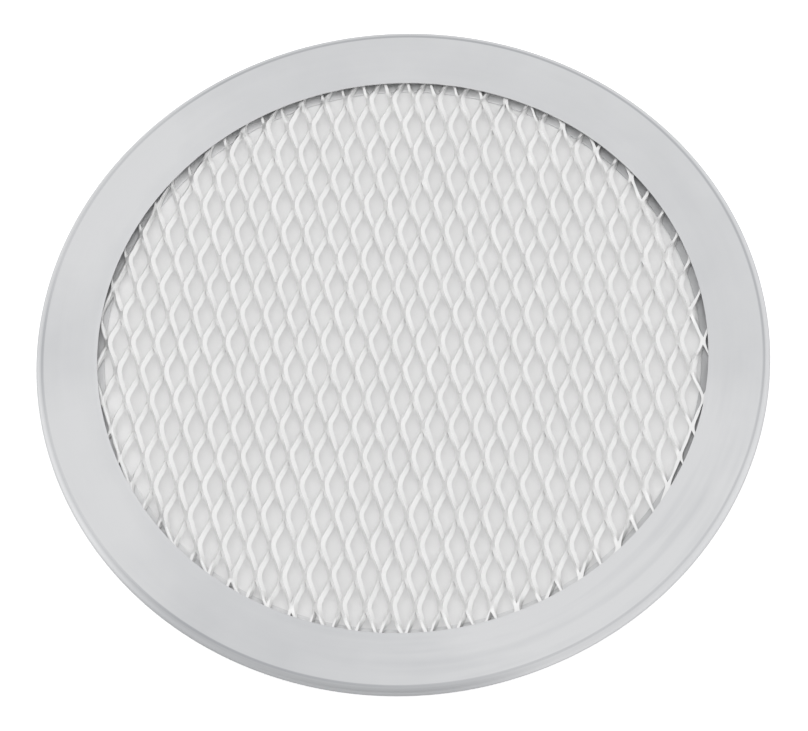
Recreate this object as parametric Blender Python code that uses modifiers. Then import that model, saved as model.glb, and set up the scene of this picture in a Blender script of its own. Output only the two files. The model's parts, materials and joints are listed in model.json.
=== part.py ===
"""Pizza screen: a disc of expanded aluminium mesh, clamped all round by a folded aluminium rim.

The screen lies on the plane z = 0 with its centre on the Z axis. The diamonds are long along Y
and short along X, and every strand between them climbs towards +X. The rim's top flange is
pressed down towards its inner edge, where the border of the mesh is pressed flat under it.
"""

import math

import bmesh
import bpy
from mathutils import Matrix, Vector

# Rim: one ring of sheet, folded over at its outer edge into a channel that is open inwards
RIM_DIAMETER = 0.203
TOP_FLANGE_WIDTH = 0.0170
BOTTOM_FLANGE_WIDTH = 0.0187
TOP_SEAT_WIDTH = 0.0040
RIM_SHEET = 0.0005
RIM_STEPS = 72
FOLD_STEPS = 4

# Mesh: sheet that is slit in staggered rows and stretched into diamonds
LONG_PITCH = 0.0173
SHORT_PITCH = 0.0066
BOND_LENGTH = 0.0042
BOND_FLAT = 0.0026
STRAND_WIDTH = 0.0011
STRAND_TILT = math.radians(45)
MESH_SHEET = 0.0009
DIAMOND_LEAN = math.radians(1.6)

# The disc is punched from that sheet with its centre this far beside the middle of a diamond
PUNCH_OFFSET_ACROSS = 0.0003
PUNCH_OFFSET_ALONG = 0.0004
MESH_GRIP = 0.0035
MESH_EDGE_SIDES = 72
SPARE_DIAMONDS = 3

# Under the flanges the strands are pressed down to this rise, from a little inside the rim
PRESSED_RISE = 0.00015
PRESSED_MARGIN = 0.0025
PRESSED_RAMP = 0.0060

# The mesh lies this far from the sheet of the rim, above and below
CLAMP_GAP = 0.0003

# What follows from the sizes above
STRAND_RUN = STRAND_WIDTH * math.cos(STRAND_TILT)
STRAND_RISE = STRAND_WIDTH * math.sin(STRAND_TILT)
MESH_HEIGHT = 2 * STRAND_RISE + MESH_SHEET
PRESSED_HEIGHT = PRESSED_RISE + MESH_SHEET
TOP_EDGE_RADIUS = RIM_DIAMETER / 2 - TOP_FLANGE_WIDTH
MESH_RADIUS = TOP_EDGE_RADIUS + MESH_GRIP
RIM_HEIGHT = MESH_HEIGHT + 2 * (CLAMP_GAP + RIM_SHEET)
LIP_HEIGHT = PRESSED_HEIGHT + 2 * (CLAMP_GAP + RIM_SHEET)
FOLD_RADIUS = RIM_HEIGHT / 2

MERGE_DISTANCE = 0.00001


def clear_scene():
    for obj in list(bpy.data.objects):
        bpy.data.objects.remove(obj)


def aluminium(name, colour, roughness):
    """Bare aluminium with its own colour and polish."""
    material = bpy.data.materials.new(name)
    material.use_nodes = True
    shader = material.node_tree.nodes["Principled BSDF"]
    shader.inputs["Base Color"].default_value = (*colour, 1)
    shader.inputs["Metallic"].default_value = 1.0
    shader.inputs["Roughness"].default_value = roughness
    return material


def add_to_screen(name, mesh, collection, material):
    """A piece of the screen, whose mesh has its mid height at the rim's mid height."""
    piece = bpy.data.objects.new(name, mesh)
    piece.location.z = RIM_HEIGHT / 2
    mesh.materials.append(material)
    collection.objects.link(piece)
    return piece


def fold_arc(radius, start, end):
    """Section of the fold at +X, as points from one angle to another, in degrees above +X."""
    centre_x = RIM_DIAMETER / 2 - FOLD_RADIUS
    angles = [math.radians(start + (end - start) * i / FOLD_STEPS) for i in range(FOLD_STEPS + 1)]
    return [(centre_x + radius * math.cos(angle), radius * math.sin(angle)) for angle in angles]


def rim_section():
    """Outline of the folded sheet at +X: up the pressed flange, round the fold and back inside it.

    Beside the fold the top flange keeps a level seat, which carries a screen stacked on this one.
    """
    seat_edge = RIM_DIAMETER / 2 - FOLD_RADIUS - TOP_SEAT_WIDTH
    bottom_edge = RIM_DIAMETER / 2 - BOTTOM_FLANGE_WIDTH
    outside = RIM_HEIGHT / 2
    inside = outside - RIM_SHEET
    lip = LIP_HEIGHT - outside
    return [
        (TOP_EDGE_RADIUS, lip),
        (seat_edge, outside),
        *fold_arc(FOLD_RADIUS, 90, -90),
        (bottom_edge, -outside),
        (bottom_edge, -inside),
        *fold_arc(FOLD_RADIUS - RIM_SHEET, -90, 90),
        (seat_edge, inside),
        (TOP_EDGE_RADIUS, lip - RIM_SHEET),
    ]


def make_rim(collection):
    """The channel-shaped ring, turned from its section."""
    section = bmesh.new()
    corners = [section.verts.new((x, 0, z)) for x, z in rim_section()]
    for here, there in zip(corners, corners[1:] + corners[:1]):
        section.edges.new((here, there))
    mesh = bpy.data.meshes.new("rim")
    section.to_mesh(mesh)
    section.free()
    material = aluminium("rim_aluminium", (0.66, 0.66, 0.67), 0.32)
    rim = add_to_screen("rim", mesh, collection, material)
    turn = rim.modifiers.new("Turn", "SCREW")
    turn.steps = turn.render_steps = RIM_STEPS
    turn.use_merge_vertices = True
    turn.merge_threshold = MERGE_DISTANCE
    rim.modifiers.new("Flat flanges", "WEIGHTED_NORMAL")


def diamond_cell():
    """Skin of one six-sided bond, tilted about Y, and of the two strands from its high side."""
    cell = bmesh.new()
    ways = (-1, 1)
    tips = [cell.verts.new((0, way * BOND_LENGTH / 2, 0)) for way in ways]
    low = [cell.verts.new((-STRAND_RUN, way * BOND_FLAT / 2, -STRAND_RISE)) for way in ways]
    high = [cell.verts.new((STRAND_RUN, way * BOND_FLAT / 2, STRAND_RISE)) for way in ways]
    cell.faces.new((tips[0], high[0], high[1], tips[1], low[1], low[0]))
    strand_reach = (LONG_PITCH - BOND_LENGTH - BOND_FLAT) / 2
    for tip, corner, way in zip(tips, high, ways):
        to_next_bond = (SHORT_PITCH / 2 - STRAND_RUN, way * strand_reach, -STRAND_RISE)
        side = cell.edges.get((tip, corner))
        strand = bmesh.ops.extrude_edge_only(cell, edges=[side])["geom"]
        far_end = [item for item in strand if isinstance(item, bmesh.types.BMVert)]
        bmesh.ops.translate(cell, verts=far_end, vec=to_next_bond)
    bmesh.ops.recalc_face_normals(cell, faces=cell.faces)
    return cell


def repeat(obj, count, offset):
    """An Array of copies that share their touching corners."""
    array = obj.modifiers.new("Repeat", "ARRAY")
    array.count = count
    array.use_relative_offset = False
    array.use_constant_offset = True
    array.constant_offset_displace = offset
    array.use_merge_vertices = True
    array.merge_threshold = MERGE_DISTANCE


def stretched_sheet(collection):
    """Skin of a rectangle of diamonds, larger than the disc, with a diamond at its middle."""
    mesh = bpy.data.meshes.new("sheet")
    cell = diamond_cell()
    cell.to_mesh(mesh)
    cell.free()
    sheet = bpy.data.objects.new("sheet", mesh)
    collection.objects.link(sheet)
    reach_along = MESH_RADIUS + PUNCH_OFFSET_ALONG
    reach_across = MESH_RADIUS + PUNCH_OFFSET_ACROSS + reach_along * math.tan(DIAMOND_LEAN)
    across = 2 * math.ceil(reach_across / SHORT_PITCH) + SPARE_DIAMONDS
    along = 2 * math.ceil(reach_along / LONG_PITCH) + SPARE_DIAMONDS
    repeat(sheet, 2, (SHORT_PITCH / 2, LONG_PITCH / 2, 0))
    repeat(sheet, across, (SHORT_PITCH, 0, 0))
    repeat(sheet, along, (0, LONG_PITCH, 0))
    skin = bmesh.new()
    skin.from_mesh(sheet.evaluated_get(bpy.context.evaluated_depsgraph_get()).to_mesh())
    bpy.data.objects.remove(sheet)
    middle_bond = Vector((SHORT_PITCH * (across // 2), LONG_PITCH * (along // 2), 0))
    middle_diamond = middle_bond + Vector((SHORT_PITCH / 2, 0, 0))
    lean = Matrix.Identity(4)
    lean[0][1] = math.tan(DIAMOND_LEAN)
    bmesh.ops.transform(skin, matrix=lean @ Matrix.Translation(-middle_diamond), verts=skin.verts)
    return skin


def punch_disc(skin):
    """Cuts the skin round, side by side, as far out as the disc reaches."""
    bmesh.ops.translate(skin, verts=skin.verts, vec=(PUNCH_OFFSET_ACROSS, PUNCH_OFFSET_ALONG, 0))
    for side in range(MESH_EDGE_SIDES):
        turn = 2 * math.pi * side / MESH_EDGE_SIDES
        outward = Vector((math.cos(turn), math.sin(turn), 0))
        bmesh.ops.bisect_plane(
            skin,
            geom=skin.verts[:] + skin.edges[:] + skin.faces[:],
            dist=MERGE_DISTANCE,
            plane_co=outward * MESH_RADIUS,
            plane_no=outward,
            clear_outer=True,
        )


def drop_offcuts(skin):
    """Keeps what hangs together with the middle: a strand that is cut at both ends falls away."""
    kept = {min(skin.faces, key=lambda face: face.calc_center_median().length)}
    newest = set(kept)
    while newest:
        beside = {face for last in newest for edge in last.edges for face in edge.link_faces}
        newest = beside - kept
        kept |= newest
    offcuts = [face for face in skin.faces if face not in kept]
    bmesh.ops.delete(skin, geom=offcuts, context="FACES")


def press_border(skin):
    """Presses the strands nearly flat at the rim, down to the level of their own undersides."""
    flat_from = TOP_EDGE_RADIUS - PRESSED_MARGIN
    squeeze = 1 - PRESSED_RISE / (2 * STRAND_RISE)
    lowering = (MESH_HEIGHT - PRESSED_HEIGHT) / 2
    for vert in skin.verts:
        pressed = 1 - (flat_from - vert.co.xy.length) / PRESSED_RAMP
        pressed = min(1, max(0, pressed))
        vert.co.z = vert.co.z * (1 - pressed * squeeze) - pressed * lowering


def make_mesh_disc(collection):
    """The round of expanded sheet, halfway up the rim and pressed flat at its border."""
    skin = stretched_sheet(collection)
    punch_disc(skin)
    drop_offcuts(skin)
    press_border(skin)
    mesh = bpy.data.meshes.new("mesh_disc")
    skin.to_mesh(mesh)
    skin.free()
    material = aluminium("mesh_aluminium", (0.74, 0.74, 0.74), 0.28)
    disc = add_to_screen("mesh_disc", mesh, collection, material)
    thicken = disc.modifiers.new("Thicken", "SOLIDIFY")
    thicken.thickness = MESH_SHEET
    thicken.offset = 0
    thicken.use_even_offset = True


def main():
    clear_scene()
    screen = bpy.data.collections.new("pizza_screen")
    bpy.context.scene.collection.children.link(screen)
    make_rim(screen)
    make_mesh_disc(screen)


main()
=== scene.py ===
"""Looks of the pizza screen: folded aluminium rim, expanded aluminium mesh, and the studio."""

import json
import math

import bpy
from mathutils import Matrix, Vector

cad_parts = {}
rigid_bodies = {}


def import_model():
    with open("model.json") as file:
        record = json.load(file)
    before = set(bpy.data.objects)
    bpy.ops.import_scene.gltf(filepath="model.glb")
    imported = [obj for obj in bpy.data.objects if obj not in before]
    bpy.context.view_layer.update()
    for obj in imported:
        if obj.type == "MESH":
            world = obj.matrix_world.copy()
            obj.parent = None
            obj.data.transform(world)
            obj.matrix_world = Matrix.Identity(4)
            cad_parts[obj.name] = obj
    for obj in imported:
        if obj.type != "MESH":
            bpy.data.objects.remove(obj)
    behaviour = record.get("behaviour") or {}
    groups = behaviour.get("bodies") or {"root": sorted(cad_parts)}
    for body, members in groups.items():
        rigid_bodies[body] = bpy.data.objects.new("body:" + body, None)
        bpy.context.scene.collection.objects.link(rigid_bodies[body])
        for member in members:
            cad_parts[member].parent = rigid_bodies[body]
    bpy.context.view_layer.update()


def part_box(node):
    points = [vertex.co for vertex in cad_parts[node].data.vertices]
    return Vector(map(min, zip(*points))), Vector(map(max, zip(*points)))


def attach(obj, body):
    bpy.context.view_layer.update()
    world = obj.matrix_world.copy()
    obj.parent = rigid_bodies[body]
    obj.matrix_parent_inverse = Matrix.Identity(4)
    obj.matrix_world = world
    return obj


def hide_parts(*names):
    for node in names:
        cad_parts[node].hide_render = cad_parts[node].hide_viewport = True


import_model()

MM = 0.001

# Sizes of the rim, in metres. Its radius and height come from the frame
_, RIM_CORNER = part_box("rim")
RIM_RADIUS = RIM_CORNER.x
RIM_HEIGHT = RIM_CORNER.z
MID_HEIGHT = RIM_HEIGHT / 2
RIM_SHEET = 0.5 * MM
RING_SIDES = 256

# The top flange is level beside the fold and slopes down in a slight curve to its inner edge
TOP_EDGE = RIM_RADIUS - 17.0 * MM
TOP_SEAT_WIDTH = 4.0 * MM
FLANGE_DIP = 0.05 * MM
LIP_HEIGHT = 2.65 * MM
LIP_STEPS = 8
LIP_CURVE = 1.2

# The bottom flange is flat and reaches further in
BOTTOM_EDGE = RIM_RADIUS - 18.7 * MM

# The round bead of the fold, its angles in degrees, and the fine groove beside it
BEAD_RADIUS = MID_HEIGHT
BEAD_STEPS = 20
BEAD_START = 75
BEAD_SWEEP = 165
CREASE_RADIUS = RIM_RADIUS - BEAD_RADIUS
CREASE_WIDTH = 0.3 * MM
CREASE_DEPTH = 0.06 * MM

# Rings of edges this far from a turn of the sheet keep what is beside it flat
FLAT_MARGIN = 0.5 * MM
WIDE_MARGIN = 3 * FLAT_MARGIN

RIM_ROUNDING = 0.1 * MM
RIM_ROUNDING_STEPS = 2
RIM_ROUNDED_ABOVE = math.radians(60)
RIM_SMOOTH_BELOW = math.radians(40)

# Sizes of the expanded sheet: its diamonds, and the bonds and strands between them
LONG_PITCH = 17.3 * MM
SHORT_PITCH = 6.6 * MM
BOND_LENGTH = 2.2 * MM
BOND_FLAT = 1.7 * MM
BOND_SIDES = 6
STRAND_WIDTH = 1.35 * MM
STRAND_TILT = math.radians(60)
STRAND_CUTS = 3
MESH_SHEET = 1.4 * MM
DIAMOND_LEAN = math.radians(1.6)
UNEVENNESS = 0.17 * MM
UNEVENNESS_SEED = 3

# The disc is punched this far beside the middle of a diamond, and the fold grips its border
PUNCH_OFFSET = Vector((0.8 * MM, 0.7 * MM, 0))
MESH_RADIUS = TOP_EDGE + 3.5 * MM
MESH_EDGE_SIDES = 72
SPARE_DIAMONDS = 3

# The border is pressed in narrow rings, and in the last of them its heights keep this share
PRESSED_FROM = TOP_EDGE - 3.0 * MM
PRESSED_STEP = 0.4 * MM
PRESSED_STEPS = 7
PRESSED_SHARE = 0.06

# Pressed towards this level, its middle ends halfway between the edges of the flanges
PRESSED_LEVEL = (LIP_HEIGHT / 2 - MID_HEIGHT * PRESSED_SHARE) / (1 - PRESSED_SHARE)

# The thickened border is pressed once more, and keeps this share of its heights
SQUEEZED_SHARE = 0.8

# Points this close are one. The second holds for the slivers that the punch leaves
TOUCH = 0.01 * MM
SLIVER = 0.3 * MM

CUT_SHARPNESS = math.radians(60)
CUT_CREASE = 0.9
MESH_SMOOTH_BELOW = math.radians(50)


# Editing by hand, with every selection made in code

def deselect_all():
    for other in bpy.context.scene.objects:
        other.select_set(False)


def pick_only(piece):
    deselect_all()
    piece.select_set(True)
    bpy.context.view_layer.objects.active = piece


def edit(piece):
    pick_only(piece)
    bpy.ops.object.mode_set(mode="EDIT")


def leave_edit():
    bpy.ops.object.mode_set(mode="OBJECT")


def pick_edges(piece, wanted):
    """Selects the edges whose two ends pass a test, from edit mode and back into it."""
    bpy.ops.mesh.select_mode(type="EDGE")
    bpy.ops.mesh.select_all(action="DESELECT")
    leave_edit()
    points = [vertex.co for vertex in piece.data.vertices]
    for edge in piece.data.edges:
        edge.select = wanted(*(points[end] for end in edge.vertices))
    bpy.ops.object.mode_set(mode="EDIT")


def finish_with(piece, kind, **settings):
    """Adds a modifier and applies it."""
    pick_only(piece)
    modifier = piece.modifiers.new(kind.title(), kind)
    for setting, value in settings.items():
        setattr(modifier, setting, value)
    bpy.ops.object.modifier_apply(modifier=modifier.name)


def smooth_below(piece, angle):
    """Shades smooth across the edges that turn by less than an angle."""
    deselect_all()
    piece.select_set(True)
    bpy.ops.object.shade_smooth_by_angle(angle=angle)


def name_piece(name):
    """Names the primitive that was just added."""
    piece = bpy.context.object
    piece.name = piece.data.name = name
    return piece


def give_slots(piece, finishes):
    """Material slots for the outer skin and for the rest, which Solidify fills."""
    for material in finishes:
        piece.data.materials.append(material)


# Rim

def carry_ring(here, there):
    """Extrudes the selected ring of edges from one radius and height to another."""
    grow = there[0] / here[0]
    bpy.ops.mesh.extrude_region_move()
    bpy.ops.transform.resize(value=(grow, grow, 1), center_override=(0, 0, 0))
    bpy.ops.transform.translate(value=(0, 0, there[1] - here[1]))


def rim_path():
    """Outer skin of the folded sheet, from the top flange's edge round the bead to the bottom's."""
    flange = RIM_HEIGHT - FLANGE_DIP
    seat_edge = CREASE_RADIUS - TOP_SEAT_WIDTH
    for step in range(1, LIP_STEPS + 1):
        still_to_go = 1 - step / LIP_STEPS
        radius = seat_edge - (seat_edge - TOP_EDGE) * still_to_go
        yield radius, flange - (flange - LIP_HEIGHT) * still_to_go ** LIP_CURVE
    yield CREASE_RADIUS - WIDE_MARGIN, flange
    yield CREASE_RADIUS - FLAT_MARGIN, flange
    yield CREASE_RADIUS - 0.5 * CREASE_WIDTH, flange
    yield CREASE_RADIUS, flange - CREASE_DEPTH
    yield CREASE_RADIUS + 0.5 * CREASE_WIDTH, flange
    for step in range(1, BEAD_STEPS + 1):
        turn = math.radians(BEAD_START - BEAD_SWEEP * step / BEAD_STEPS)
        yield CREASE_RADIUS + BEAD_RADIUS * math.cos(turn), BEAD_RADIUS + BEAD_RADIUS * math.sin(turn)
    yield CREASE_RADIUS - FLAT_MARGIN, 0
    yield BOTTOM_EDGE + FLAT_MARGIN, 0
    yield BOTTOM_EDGE, 0


def make_rim(finishes):
    """The band of sheet that is folded over the edge of the mesh."""
    deselect_all()
    bpy.ops.mesh.primitive_circle_add(vertices=RING_SIDES, radius=TOP_EDGE, location=(0, 0, 0))
    rim = name_piece("rim_band")
    give_slots(rim, finishes)
    edit(rim)
    bpy.ops.mesh.select_all(action="SELECT")
    bpy.ops.transform.translate(value=(0, 0, LIP_HEIGHT))
    here = (TOP_EDGE, LIP_HEIGHT)
    for there in rim_path():
        carry_ring(here, there)
        here = there
    bpy.ops.mesh.select_all(action="SELECT")
    bpy.ops.mesh.normals_make_consistent(inside=False)
    leave_edit()
    finish_with(
        rim, "SOLIDIFY", thickness=RIM_SHEET, offset=-1, material_offset=1, material_offset_rim=1
    )
    finish_with(
        rim, "BEVEL", width=RIM_ROUNDING, segments=RIM_ROUNDING_STEPS,
        limit_method="ANGLE", angle_limit=RIM_ROUNDED_ABOVE,
    )
    smooth_below(rim, RIM_SMOOTH_BELOW)
    return rim


# Mesh

def near_to(place):
    """A test for points at a place."""
    return lambda point: (point - Vector(place)).length < TOUCH


def shape_bond(cell):
    """Turns a regular six-sided plate into a bond that is tilted to climb towards +X."""
    side_reach = BOND_LENGTH / 2 * math.cos(math.pi / BOND_SIDES)
    bpy.ops.mesh.select_all(action="SELECT")
    bpy.ops.transform.resize(value=(STRAND_WIDTH / side_reach, 1, 1), center_override=(0, 0, 0))
    pick_edges(cell, lambda a, b: abs(a.x - b.x) < TOUCH)
    bpy.ops.transform.resize(
        value=(1, BOND_FLAT / (BOND_LENGTH / 2), 1), center_override=(0, 0, 0)
    )
    bpy.ops.mesh.select_all(action="SELECT")
    bpy.ops.transform.rotate(value=STRAND_TILT, orient_axis="Y", center_override=(0, 0, 0))


def draw_strand(cell, way):
    """Draws a strand from the bond's high side down to the low side of the next bond."""
    run = STRAND_WIDTH * math.cos(STRAND_TILT)
    rise = STRAND_WIDTH * math.sin(STRAND_TILT)
    reach = (LONG_PITCH - BOND_LENGTH - BOND_FLAT) / 2
    share = 1 / (STRAND_CUTS + 1)
    step = ((SHORT_PITCH / 2 - run) * share, way * reach * share, -rise * share)
    at_tip = near_to((0, way * BOND_LENGTH / 2, 0))
    at_corner = near_to((run, way * BOND_FLAT / 2, rise))
    pick_edges(cell, lambda a, b: (at_tip(a) and at_corner(b)) or (at_tip(b) and at_corner(a)))
    for _ in range(STRAND_CUTS + 1):
        bpy.ops.mesh.extrude_region_move()
        bpy.ops.transform.translate(value=step)


def make_cell():
    """What repeats in the sheet: one bond and the two strands from its high side."""
    deselect_all()
    bpy.ops.mesh.primitive_circle_add(
        vertices=BOND_SIDES, radius=BOND_LENGTH / 2, fill_type="NGON"
    )
    cell = name_piece("mesh_sheet")
    edit(cell)
    shape_bond(cell)
    for way in (-1, 1):
        draw_strand(cell, way)
    bpy.ops.mesh.select_all(action="SELECT")
    bpy.ops.mesh.normals_make_consistent(inside=False)
    leave_edit()
    return cell


def repeat(piece, count, offset):
    """Copies a piece into a row and joins the copies where they meet."""
    finish_with(
        piece, "ARRAY", count=count, use_relative_offset=False, use_constant_offset=True,
        constant_offset_displace=offset, use_merge_vertices=True, merge_threshold=TOUCH,
    )


def stretch_sheet(finishes):
    """The expanded sheet before the punch, a little larger than the disc."""
    sheet = make_cell()
    give_slots(sheet, finishes)
    reach_along = MESH_RADIUS + PUNCH_OFFSET.y
    reach_across = MESH_RADIUS + PUNCH_OFFSET.x + reach_along * math.tan(DIAMOND_LEAN)
    across = 2 * math.ceil(reach_across / SHORT_PITCH) + SPARE_DIAMONDS
    along = 2 * math.ceil(reach_along / LONG_PITCH) + SPARE_DIAMONDS
    repeat(sheet, 2, (SHORT_PITCH / 2, LONG_PITCH / 2, 0))
    repeat(sheet, across, (SHORT_PITCH, 0, 0))
    repeat(sheet, along, (0, LONG_PITCH, 0))
    middle = Vector((SHORT_PITCH * (across // 2 + 0.5), LONG_PITCH * (along // 2), 0))
    lean = Matrix.Identity(4)
    lean[0][1] = math.tan(DIAMOND_LEAN)
    sheet.data.transform(Matrix.Translation(PUNCH_OFFSET) @ lean @ Matrix.Translation(-middle))
    return sheet


def punch_disc(sheet):
    """Cuts the sheet to a round, in edit mode, and drops what the cut has parted from it."""
    for side in range(MESH_EDGE_SIDES):
        turn = 2 * math.pi * side / MESH_EDGE_SIDES
        outward = Vector((math.cos(turn), math.sin(turn), 0))
        bpy.ops.mesh.select_all(action="SELECT")
        bpy.ops.mesh.bisect(
            plane_co=outward * MESH_RADIUS, plane_no=outward, clear_outer=True, threshold=TOUCH
        )
    drop_offcuts(sheet)
    bpy.ops.mesh.select_all(action="SELECT")
    bpy.ops.mesh.remove_doubles(threshold=SLIVER)


def drop_offcuts(sheet):
    """Deletes the bits of strand that the round cut has parted from the middle."""
    bpy.ops.mesh.select_mode(type="VERT")
    bpy.ops.mesh.select_all(action="DESELECT")
    leave_edit()
    middle = min(sheet.data.vertices, key=lambda vertex: vertex.co.length)
    middle.select = True
    bpy.ops.object.mode_set(mode="EDIT")
    bpy.ops.mesh.select_linked()
    bpy.ops.mesh.select_all(action="INVERT")
    bpy.ops.mesh.delete(type="VERT")


def press_border(sheet, share):
    """Presses the border between the flanges flatter, in edit mode and in narrow rings."""
    keep = share ** (1 / PRESSED_STEPS)
    bpy.ops.mesh.select_mode(type="VERT")
    for ring in range(PRESSED_STEPS):
        bpy.ops.mesh.select_all(action="DESELECT")
        leave_edit()
        for vertex in sheet.data.vertices:
            vertex.select = vertex.co.xy.length > PRESSED_FROM + ring * PRESSED_STEP
        bpy.ops.object.mode_set(mode="EDIT")
        bpy.ops.transform.resize(value=(1, 1, keep), center_override=(0, 0, PRESSED_LEVEL))


def make_mesh(finishes):
    """The disc of expanded sheet."""
    sheet = stretch_sheet(finishes)
    edit(sheet)
    punch_disc(sheet)
    bpy.ops.transform.vertex_random(
        offset=UNEVENNESS, uniform=1.0, normal=0.0, seed=UNEVENNESS_SEED
    )
    bpy.ops.transform.translate(value=(0, 0, MID_HEIGHT))
    press_border(sheet, PRESSED_SHARE)
    leave_edit()
    finish_with(
        sheet, "SOLIDIFY", thickness=MESH_SHEET, offset=0, use_even_offset=True, material_offset_rim=1
    )
    edit(sheet)
    bpy.ops.mesh.select_mode(type="EDGE")
    bpy.ops.mesh.select_all(action="DESELECT")
    bpy.ops.mesh.edges_select_sharp(sharpness=CUT_SHARPNESS)
    bpy.ops.transform.edge_crease(value=CUT_CREASE)
    press_border(sheet, SQUEEZED_SHARE)
    leave_edit()
    finish_with(sheet, "SUBSURF", levels=1, render_levels=1)
    smooth_below(sheet, MESH_SMOOTH_BELOW)
    return sheet


# Nodes, written as sums

WHITE = (1, 1, 1, 1)


class Wire:
    """A socket's value, so that sums on it add Math nodes to its tree."""

    def __init__(self, nodes, socket):
        self.nodes = nodes
        self.socket = socket

    def sum_with(self, operation, *values):
        return self.nodes.add("ShaderNodeMath", {"operation": operation}, *values)

    def __add__(self, other):
        return self.sum_with("ADD", self, other)

    def __sub__(self, other):
        return self.sum_with("SUBTRACT", self, other)

    def __rsub__(self, other):
        return self.sum_with("SUBTRACT", other, self)

    def __mul__(self, other):
        return self.sum_with("MULTIPLY", self, other)

    __radd__ = __add__
    __rmul__ = __mul__


class Nodes:
    """A node tree, and one method that adds any node to it."""

    def __init__(self, tree):
        self.tree = tree

    def add(self, kind, settings=None, *values, output=0, **named):
        """Adds a node: its settings first, then its sockets by order or by name."""
        node = self.tree.nodes.new(kind)
        for setting, value in (settings or {}).items():
            setattr(node, setting, value)
        sockets = list(zip(node.inputs, values))
        sockets += [(node.inputs[name.replace("_", " ")], value) for name, value in named.items()]
        for socket, value in sockets:
            self.feed(socket, value)
        return Wire(self, node.outputs[output])

    def feed(self, socket, value):
        if isinstance(value, Wire):
            self.tree.links.new(value.socket, socket)
        else:
            socket.default_value = value

    def step(self, value, start, end):
        """A smooth rise from 0 to 1 while the value goes from start to end."""
        smooth = {"interpolation_type": "SMOOTHSTEP"}
        return self.add("ShaderNodeMapRange", smooth, Value=value, From_Min=start, From_Max=end)

    def along(self, vector, way):
        """How far a vector points the given way."""
        return self.vector("DOT_PRODUCT", vector, way, output="Value")

    def vector(self, operation, *values, **named):
        return self.add("ShaderNodeVectorMath", {"operation": operation}, *values, **named)

    def noise(self, where, scale, detail, roughness):
        return self.add(
            "ShaderNodeTexNoise", Vector=where, Scale=scale, Detail=detail, Roughness=roughness
        )

    def shade(self, amount, dark, light):
        """A colour between two, by an amount from 0 to 1."""
        mix = self.tree.nodes.new("ShaderNodeMix")
        mix.data_type = "RGBA"
        self.feed(mix.inputs["Factor"], amount)
        colours = [socket for socket in mix.inputs if socket.type == "RGBA"]
        for socket, colour in zip(colours, (dark, light)):
            self.feed(socket, colour if isinstance(colour, Wire) else (*colour, 1))
        return Wire(self, next(socket for socket in mix.outputs if socket.type == "RGBA"))


class Finish(Nodes):
    """A material's nodes, around its Principled shader."""

    def __init__(self, name):
        self.material = bpy.data.materials.new(name)
        self.material.use_nodes = True
        super().__init__(self.material.node_tree)
        self.shader = self.tree.nodes["Principled BSDF"]

    def set(self, **named):
        for name, value in named.items():
            self.feed(self.shader.inputs[name.replace("_", " ")], value)

    def place(self):
        """Object coordinates, in metres."""
        return self.add("ShaderNodeTexCoord", output="Object")

    def bump(self, height, depth):
        return self.add("ShaderNodeBump", Strength=1.0, Distance=depth, Height=height)


def swing(noise, reach):
    """A noise counted from its middle, a half, and drawn out to a reach."""
    return (noise - 0.5) * reach


class Ring:
    """Places on the rim: how far out, which way from the middle, and how high."""

    def __init__(self, finish):
        place = finish.place()
        flat = finish.vector("MULTIPLY", place, (1, 1, 0))
        self.finish = finish
        self.radius = finish.vector("LENGTH", flat, output="Value")
        self.way = finish.vector("NORMALIZE", flat)
        self.rise = finish.along(place, (0, 0, 1))

    def towards(self, way, start, end):
        """A smooth rise towards one side of the ring."""
        return self.finish.step(self.finish.along(self.way, way), start, end)

    def marks(self, along, across, detail, roughness):
        """A noise that is drawn out round the ring: few changes along it, many across."""
        turned = self.finish.vector("SCALE", self.way, Scale=along)
        drawn = self.finish.add("ShaderNodeCombineXYZ", Z=(self.radius + self.rise) * across)
        where = self.finish.vector("ADD", turned, drawn)
        return self.finish.noise(where, 1, detail, roughness)


# Finish of the rim, with painted light and shade on some of its sides. A way points from the middle
# of the screen to a side of the rim

WORN_AND_LIT_WAY = (0.62, -0.785, 0)
NEAR_SHADE_WAY = (-0.26, -0.97, 0)
SHEEN_FAR_WAY = (-0.87, 0.5, 0)
SHEEN_NEAR_WAY = (-0.87, -0.5, 0)
SHEEN_FROM = RIM_RADIUS - 22 * MM
SHEEN_FULL = RIM_RADIUS - 6 * MM

# A tone is a share of the way from the dark colour to the light one, and its parts add up
RIM_DARK = (0.605, 0.613, 0.628)
RIM_LIGHT = (0.715, 0.72, 0.73)
RIM_TONE = 0.52
STREAK_TONE = 0.22
SCUFF_TONE = 0.3
WORN_SCUFF_TONE = 1.8
CLOUD_TONE = 0.8
# The next three tones are painted light and shade: a painted highlight at the lower right, a painted
# sheen at the left, and painted shade on the near side
LIT_SIDE_TONE = 0.45
SHEEN_TONE = 0.6
NEAR_SHADE_TONE = -0.32

# Painted shade on the bead's outer wall, much more on the near side
BEAD_SHADE_COLOUR = (0.42, 0.427, 0.44)
BEAD_SHADE_TONE = 0.18
NEAR_BEAD_SHADE_TONE = 0.68
BEAD_BLEND = 0.8 * MM

# Painted shade in the fine groove beside the bead
CREASE_SHADE_COLOUR = (0.36, 0.37, 0.39)
CREASE_SHADE_TONE = 0.4
CREASE_SCUFF_TONE = 0.45
LIT_SIDE_CREASE_TONE = -0.3
SHEEN_CREASE_TONE = -0.35
NEAR_CREASE_SHADE_TONE = 0.1
CREASE_SHIFT = 0.1 * MM
CREASE_DARK_TO = 0.15 * MM
CREASE_CLEAR_FROM = 0.55 * MM

RIM_ROUGHNESS = 0.30
STREAK_ROUGHNESS = 0.12
CLOUD_ROUGHNESS = 0.06
CLOUD_BUMP = 0.5
FINE_BUMP = 0.02 * MM


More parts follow.
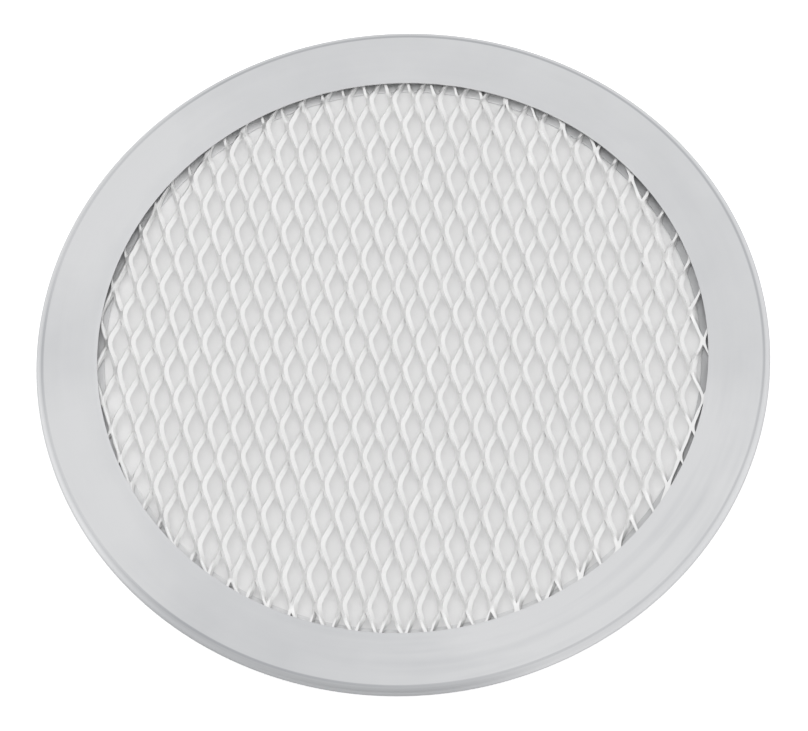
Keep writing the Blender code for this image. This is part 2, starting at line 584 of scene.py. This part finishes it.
def rim_finish():
    """Bare rolled sheet, with faint marks that run round the ring, and painted light and shade: a
    painted highlight at the lower right, a painted sheen at the left, and painted shade on the near
    side, on the bead's outer wall and in the groove beside it.
    """
    finish = Finish("rim_aluminium")
    ring = Ring(finish)
    streaks = ring.marks(along=2.5, across=900, detail=4, roughness=0.6)
    scuffs = ring.marks(along=1.8, across=270, detail=2, roughness=0.5)
    clouds = finish.noise(finish.place(), scale=55, detail=3, roughness=0.55)
    # Lower right: more scuffs of real wear, and a painted highlight that lightens the sheet and its
    # groove
    worn_and_lit = ring.towards(WORN_AND_LIT_WAY, start=0.55, end=0.95)
    # Near side: painted shade on the sheet, on its bead and in its groove
    near_shade = ring.towards(NEAR_SHADE_WAY, start=0.76, end=0.97)
    sheen = ring.towards(SHEEN_FAR_WAY, start=0.88, end=1.0)
    sheen = sheen + ring.towards(SHEEN_NEAR_WAY, start=0.88, end=1.0)
    outwards = finish.step(ring.radius, SHEEN_FROM, SHEEN_FULL)
    tone = RIM_TONE + swing(streaks, STREAK_TONE) + swing(clouds, CLOUD_TONE)
    tone = tone + swing(scuffs, SCUFF_TONE + worn_and_lit * WORN_SCUFF_TONE)
    tone = tone + worn_and_lit * LIT_SIDE_TONE + sheen * outwards * SHEEN_TONE + near_shade * NEAR_SHADE_TONE
    skin = finish.shade(tone, RIM_DARK, RIM_LIGHT)
    # Painted shade on the bead's outer wall
    bead = finish.step(ring.radius, CREASE_RADIUS, CREASE_RADIUS + BEAD_BLEND)
    shaded_bead = finish.shade(bead * (BEAD_SHADE_TONE + near_shade * NEAR_BEAD_SHADE_TONE), skin, BEAD_SHADE_COLOUR)
    # Painted shade along the fine groove beside the bead, varied by the scuffs
    off_crease = ring.radius - CREASE_RADIUS - CREASE_SHIFT
    off_crease = finish.add("ShaderNodeMath", {"operation": "ABSOLUTE"}, off_crease)
    crease_shade = 1 - finish.step(off_crease, CREASE_DARK_TO, CREASE_CLEAR_FROM)
    depth = CREASE_SHADE_TONE + scuffs * CREASE_SCUFF_TONE + worn_and_lit * LIT_SIDE_CREASE_TONE
    depth = depth + sheen * SHEEN_CREASE_TONE + near_shade * NEAR_CREASE_SHADE_TONE
    finish.set(
        Base_Color=finish.shade(crease_shade * depth, shaded_bead, CREASE_SHADE_COLOUR),
        Metallic=1.0,
        Roughness=RIM_ROUGHNESS + streaks * STREAK_ROUGHNESS + clouds * CLOUD_ROUGHNESS,
        Normal=finish.bump(streaks + clouds * CLOUD_BUMP, FINE_BUMP),
    )
    return finish.material


# Finish inside the fold, with painted shade at the right and the left of the screen

SHADED_RIGHT_WAY = (0.989, 0.148, 0)
SHADED_LEFT_WAY = (-0.989, 0.148, 0)
RIGHT_SHADE = 0.6
LEFT_SHADE = 0.3
INSIDE_SHADE_COLOUR = (0.45, 0.455, 0.465)
INSIDE_DARK = (0.78, 0.785, 0.79)
INSIDE_LIGHT = (0.85, 0.85, 0.855)
INSIDE_METALLIC = 0.9
INSIDE_ROUGHNESS = 0.60
INSIDE_CLOUD_ROUGHNESS = 0.15


def inner_rim_finish():
    """The same sheet inside the fold, where nothing scuffs it, with painted shade towards the right
    and the left.
    """
    finish = Finish("rim_inside")
    ring = Ring(finish)
    clouds = finish.noise(finish.place(), scale=300, detail=3, roughness=0.6)
    # Painted shade: darker inside the fold at the right of the screen, and less so at the left
    side_shade = ring.towards(SHADED_RIGHT_WAY, start=0.5, end=0.9) * RIGHT_SHADE
    side_shade = side_shade + ring.towards(SHADED_LEFT_WAY, start=0.85, end=1.0) * LEFT_SHADE
    clean = finish.shade(clouds, INSIDE_DARK, INSIDE_LIGHT)
    finish.set(
        Base_Color=finish.shade(side_shade, clean, INSIDE_SHADE_COLOUR),
        Metallic=INSIDE_METALLIC,
        Roughness=INSIDE_ROUGHNESS + clouds * INSIDE_CLOUD_ROUGHNESS,
    )
    return finish.material


# Finishes of the mesh

SKIN_DARK = (0.845, 0.845, 0.845)
SKIN_LIGHT = (0.925, 0.925, 0.92)
SKIN_ROUGHNESS = 0.38
SKIN_CLOUD_ROUGHNESS = 0.12
CUT_DARK = (0.83, 0.83, 0.827)
CUT_LIGHT = (0.90, 0.90, 0.897)
CUT_ROUGHNESS = 0.54
CUT_GRAIN_ROUGHNESS = 0.14


def patched(finish, noise):
    """A fine noise with wider patches in it."""
    return noise + swing(finish.noise(finish.place(), scale=160, detail=2, roughness=0.5), 1)


def skin_finish():
    """The rolled skin of the expanded sheet."""
    finish = Finish("mesh_skin")
    clouds = finish.noise(finish.place(), scale=900, detail=3, roughness=0.6)
    finish.set(
        Base_Color=finish.shade(patched(finish, clouds), SKIN_DARK, SKIN_LIGHT),
        Metallic=1.0,
        Roughness=SKIN_ROUGHNESS + clouds * SKIN_CLOUD_ROUGHNESS,
    )
    return finish.material


def cut_finish():
    """The sheared edges of the expanded sheet, frosted."""
    finish = Finish("mesh_cut")
    grain = finish.noise(finish.place(), scale=2500, detail=2, roughness=0.6)
    finish.set(
        Base_Color=finish.shade(patched(finish, grain), CUT_DARK, CUT_LIGHT),
        Metallic=1.0,
        Roughness=CUT_ROUGHNESS + grain * CUT_GRAIN_ROUGHNESS,
        Normal=finish.bump(grain, FINE_BUMP),
    )
    return finish.material


# What each piece stands for

def stand_in(piece, node):
    """Says which body carries a piece, which solid it stands for."""
    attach(piece, "root")
    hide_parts(node)


# The photograph's view: its width and the rim's radius seen face on, both in pixels

PHOTO_WIDTH = 808
RIM_RADIUS_PIXELS = 366.5
DISTANCE_IN_RADII = 6.740
VIEW_DISTANCE = DISTANCE_IN_RADII * RIM_RADIUS
FOCAL_PIXELS = RIM_RADIUS_PIXELS * DISTANCE_IN_RADII
VIEW_ELEVATION = math.radians(63.854)
VIEW_TURN = math.radians(5.14)
VIEW_ROLL = math.radians(-4.874)
VIEW_TILT = math.radians(-0.498)
VIEW_PAN = math.radians(0.014)
SENSOR_WIDTH = 36
CLIP_START = 0.01


def add_camera():
    """The photograph's view of the rim's mid height."""
    towards = Vector((0, math.cos(VIEW_ELEVATION), -math.sin(VIEW_ELEVATION)))
    upwards = Vector((0, math.sin(VIEW_ELEVATION), math.cos(VIEW_ELEVATION)))
    right = Vector((1, 0, 0))
    aim = (towards + math.tan(VIEW_PAN) * right + math.tan(VIEW_TILT) * upwards).normalized()
    right = (right - aim * right.dot(aim)).normalized()
    up = right.cross(aim)
    rolled_right = right * math.cos(VIEW_ROLL) + up * math.sin(VIEW_ROLL)
    rolled_up = up * math.cos(VIEW_ROLL) - right * math.sin(VIEW_ROLL)
    stand = Matrix((rolled_right, rolled_up, -aim)).transposed().to_4x4()
    stand.translation = -VIEW_DISTANCE * towards
    turn = Matrix.Translation((0, 0, MID_HEIGHT)) @ Matrix.Rotation(VIEW_TURN, 4, "Z")
    camera = bpy.data.objects.new("camera", bpy.data.cameras.new("camera"))
    bpy.context.scene.collection.objects.link(camera)
    camera.matrix_world = turn @ stand
    camera.data.sensor_width = SENSOR_WIDTH
    camera.data.lens = FOCAL_PIXELS * SENSOR_WIDTH / PHOTO_WIDTH
    camera.data.clip_start = CLIP_START
    bpy.context.scene.camera = camera


# The floor lies just under the rim. It glows for the camera and in mirrors, less under the screen

FLOOR_SIZE = 6
FLOOR_DROP = 0.05 * MM
FLOOR_COLOUR = (0.94, 0.94, 0.94, 1)
FLOOR_ROUGHNESS = 0.9
FLOOR_GLOW_INSIDE = 0.01
FLOOR_GLOW_MIRRORED = 0.06
FLOOR_GLOW_OUTSIDE = 0.5
GLOW_FROM = RIM_RADIUS - 8 * MM
GLOW_FULL = RIM_RADIUS - 1 * MM
MIRRORED_GLOW_FULL = RIM_RADIUS + 40 * MM
MIRRORED_GLOW_SHARE = 0.5


def add_floor():
    """White floor: it glows for the camera outside the rim, and keeps the screen's shadow."""
    deselect_all()
    bpy.ops.mesh.primitive_plane_add(size=FLOOR_SIZE, location=(0, 0, 0))
    floor = name_piece("floor")
    edit(floor)
    bpy.ops.mesh.select_all(action="SELECT")
    bpy.ops.transform.translate(value=(0, 0, -FLOOR_DROP))
    leave_edit()
    finish = Finish("floor_white")
    finish.set(Base_Color=FLOOR_COLOUR, Roughness=FLOOR_ROUGHNESS, Specular_IOR_Level=0.0)
    seen = finish.add("ShaderNodeLightPath", output="Is Camera Ray")
    mirrored = finish.add("ShaderNodeLightPath", output="Is Glossy Ray")
    mirrored = mirrored + finish.add("ShaderNodeLightPath", output="Is Transmission Ray")
    radius = finish.vector("LENGTH", finish.place(), output="Value")
    outside = seen * finish.step(radius, GLOW_FROM, GLOW_FULL)
    outside_mirrored = mirrored * finish.step(radius, RIM_RADIUS, MIRRORED_GLOW_FULL)
    outside = outside + outside_mirrored * MIRRORED_GLOW_SHARE
    strength = seen * FLOOR_GLOW_INSIDE + mirrored * FLOOR_GLOW_MIRRORED
    strength = strength + outside * (FLOOR_GLOW_OUTSIDE - FLOOR_GLOW_INSIDE)
    glow = finish.add("ShaderNodeEmission", Color=WHITE, Strength=strength)
    both = finish.add("ShaderNodeAddShader", None, Wire(finish, finish.shader.outputs[0]), glow)
    out = next(node for node in finish.tree.nodes if node.type == "OUTPUT_MATERIAL")
    finish.feed(out.inputs["Surface"], both)
    floor.data.materials.append(finish.material)


# The studio's light. A way points from the screen to a side of the studio

STUDIO_LEVEL = 0.95
RIGHT_WAY = Vector((0.90, 0.35, 0.15)).normalized()
LEFT_WAY = Vector((-0.95, -0.25, 0.15)).normalized()
FRONT_WAY = Vector((-0.15, -0.97, 0.12)).normalized()
RIGHT_LIGHT = 0.18
LEFT_LIGHT = 0.25
FRONT_LIGHT = -0.25


def add_world():
    """Pale studio: brighter at the right and the left, darker on the photographer's side."""
    world = bpy.data.worlds.new("studio")
    bpy.context.scene.world = world
    world.use_nodes = True
    studio = Nodes(world.node_tree)
    way = studio.add("ShaderNodeTexCoord", output="Generated")
    right = studio.step(studio.along(way, RIGHT_WAY), start=0.35, end=0.95)
    left = studio.step(studio.along(way, LEFT_WAY), start=0.5, end=1.0)
    front = studio.step(studio.along(way, FRONT_WAY), start=0.82, end=0.99)
    level = STUDIO_LEVEL + right * RIGHT_LIGHT + left * LEFT_LIGHT + front * FRONT_LIGHT
    background = world.node_tree.nodes["Background"]
    studio.feed(background.inputs["Color"], WHITE)
    studio.feed(background.inputs["Strength"], level)


add_camera()
stand_in(make_rim([rim_finish(), inner_rim_finish()]), "rim")
stand_in(make_mesh([skin_finish(), cut_finish()]), "mesh_disc")
add_floor()
add_world()
bpy.context.scene.view_settings.view_transform = "Standard"
